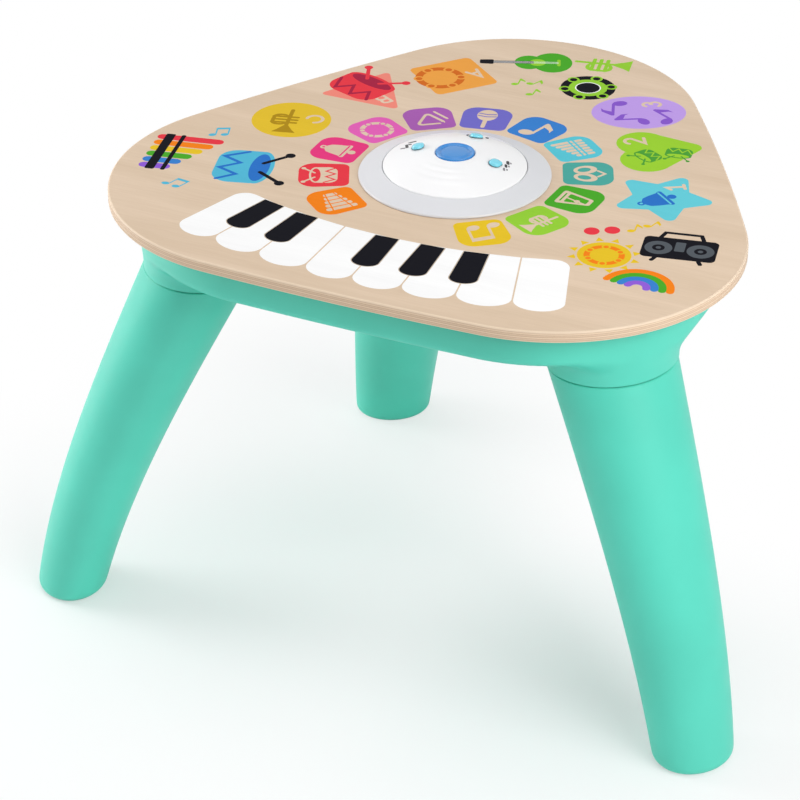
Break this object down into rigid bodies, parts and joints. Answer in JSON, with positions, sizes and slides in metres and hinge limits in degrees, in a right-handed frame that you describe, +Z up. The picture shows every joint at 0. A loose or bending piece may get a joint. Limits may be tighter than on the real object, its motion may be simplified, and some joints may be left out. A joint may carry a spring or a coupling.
{
  "type": "musical activity table",
  "caption": "Toddler activity table: rounded-triangle plywood top, printed keys and shapes, domed control unit with push button and slide knobs, on splayed oval legs.",
  "frame": {"origin": "on the floor, under the middle of the bounding box; the middle of the dome is 25.75 mm towards -Y from it", "axes": "+Z up, -Y towards the keyboard side of the top, +X to the right of a child who faces the keyboard"},
  "size_m": [0.5398, 0.4276, 0.3443],
  "materials": {
    "plywood": "clear matt lacquer over birch plywood, printed in colour",
    "green_plastic": "satin moulded plastic",
    "ring_plastic": "translucent satin plastic",
    "white_plastic": "glossy white plastic",
    "blue_plastic": "glossy blue plastic",
    "knob_plastic": "glossy turquoise plastic",
    "steel": "zinc-plated steel",
    "circuit_board": "green solder mask",
    "led_resin": "clear resin",
    "black_plastic": "black moulded plastic",
    "sensor_film": "amber polyimide film",
    "magnet": "dark ferrite in a steel cup",
    "speaker_paper": "black paper cone",
    "nickel": "nickel-plated spring steel",
    "cell_jacket": "plain jacket on an AA cell",
    "wire_jacket": "soft insulated leads"
  },
  "bodies": {
    "table": {"tabletop": "plywood", "base_shell": "green_plastic", "leg_front_left": "green_plastic", "leg_front_right": "green_plastic", "leg_rear": "green_plastic", "leg_screws": "steel", "tabletop_screws": "steel", "control_housing": "white_plastic", "housing_screws": "steel", "light_ring": "ring_plastic", "dome_cover": "white_plastic", "dome_screws": "steel", "control_board": "circuit_board", "leds": "led_resin", "button_switch": "black_plastic", "slide_switches": "steel", "sensor_sheet": "sensor_film", "sensor_tail": "sensor_film", "speaker_frame": "steel", "speaker_magnet": "magnet", "speaker_cone": "speaker_paper", "speaker_screws": "steel", "battery_box": "black_plastic", "battery_contacts": "nickel", "battery_springs": "nickel", "batteries": "cell_jacket", "wiring": "wire_jacket", "button_spring": "steel"},
    "push_button": {"center_button": "blue_plastic"},
    "mode_knob": {"mode_slider": "knob_plastic"},
    "power_knob": {"power_slider": "knob_plastic"},
    "volume_knob": {"volume_slider": "knob_plastic"},
    "door": {"battery_door": "green_plastic", "door_screw": "steel"}
  },
  "joints": [
    {"name": "button_press", "type": "slide", "parent": "table", "child": "push_button", "axis": [0, 0, -1], "range_m": [0, 0.0016], "stiffness_N_per_m": 300, "springref_m": -0.004, "deforming": ["button_spring"]},
    {"name": "mode_slide", "type": "slide", "parent": "table", "child": "mode_knob", "axis": [0, 1, 0], "range_m": [0, 0.006]},
    {"name": "power_slide", "type": "slide", "parent": "table", "child": "power_knob", "axis": [1, 0, 0], "range_m": [-0.002, 0.002]},
    {"name": "volume_slide", "type": "slide", "parent": "table", "child": "volume_knob", "axis": [0, 1, 0], "range_m": [-0.002, 0.002]},
    {"name": "battery_door_hinge", "type": "hinge", "parent": "table", "child": "door", "pos_m": [0, -0.10675, 0.2877], "axis": [1, 0, 0], "range_deg": [0, 100]}
  ]
}
